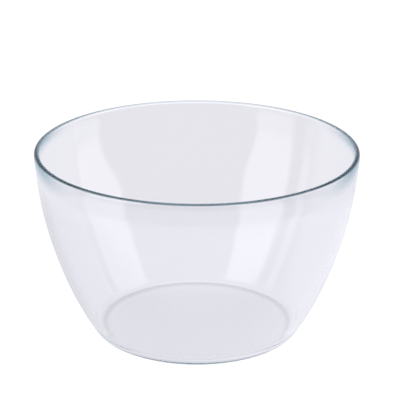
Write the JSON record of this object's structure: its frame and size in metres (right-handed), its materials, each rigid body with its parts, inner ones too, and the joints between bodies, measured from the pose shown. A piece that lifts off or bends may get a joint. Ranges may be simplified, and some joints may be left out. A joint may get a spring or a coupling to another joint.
{
  "type": "crystallizing dish",
  "caption": "Deep round clear-glass dish with a curved flaring wall, flat base and rounded rim, free-standing, for evaporating, crystallizing or holding liquids.",
  "frame": {"origin": "centre of the circle the dish stands on, on the plane of its standing ring", "axes": "+Z along the axis of revolution, up towards the open mouth; X and Y are arbitrary"},
  "size_m": [0.204, 0.204, 0.12],
  "materials": {
    "glass": "clear pressed glass with a faint blue-green tint that gathers at the rim"
  },
  "bodies": {
    "root": {"dish": "glass"}
  },
  "joints": []
}
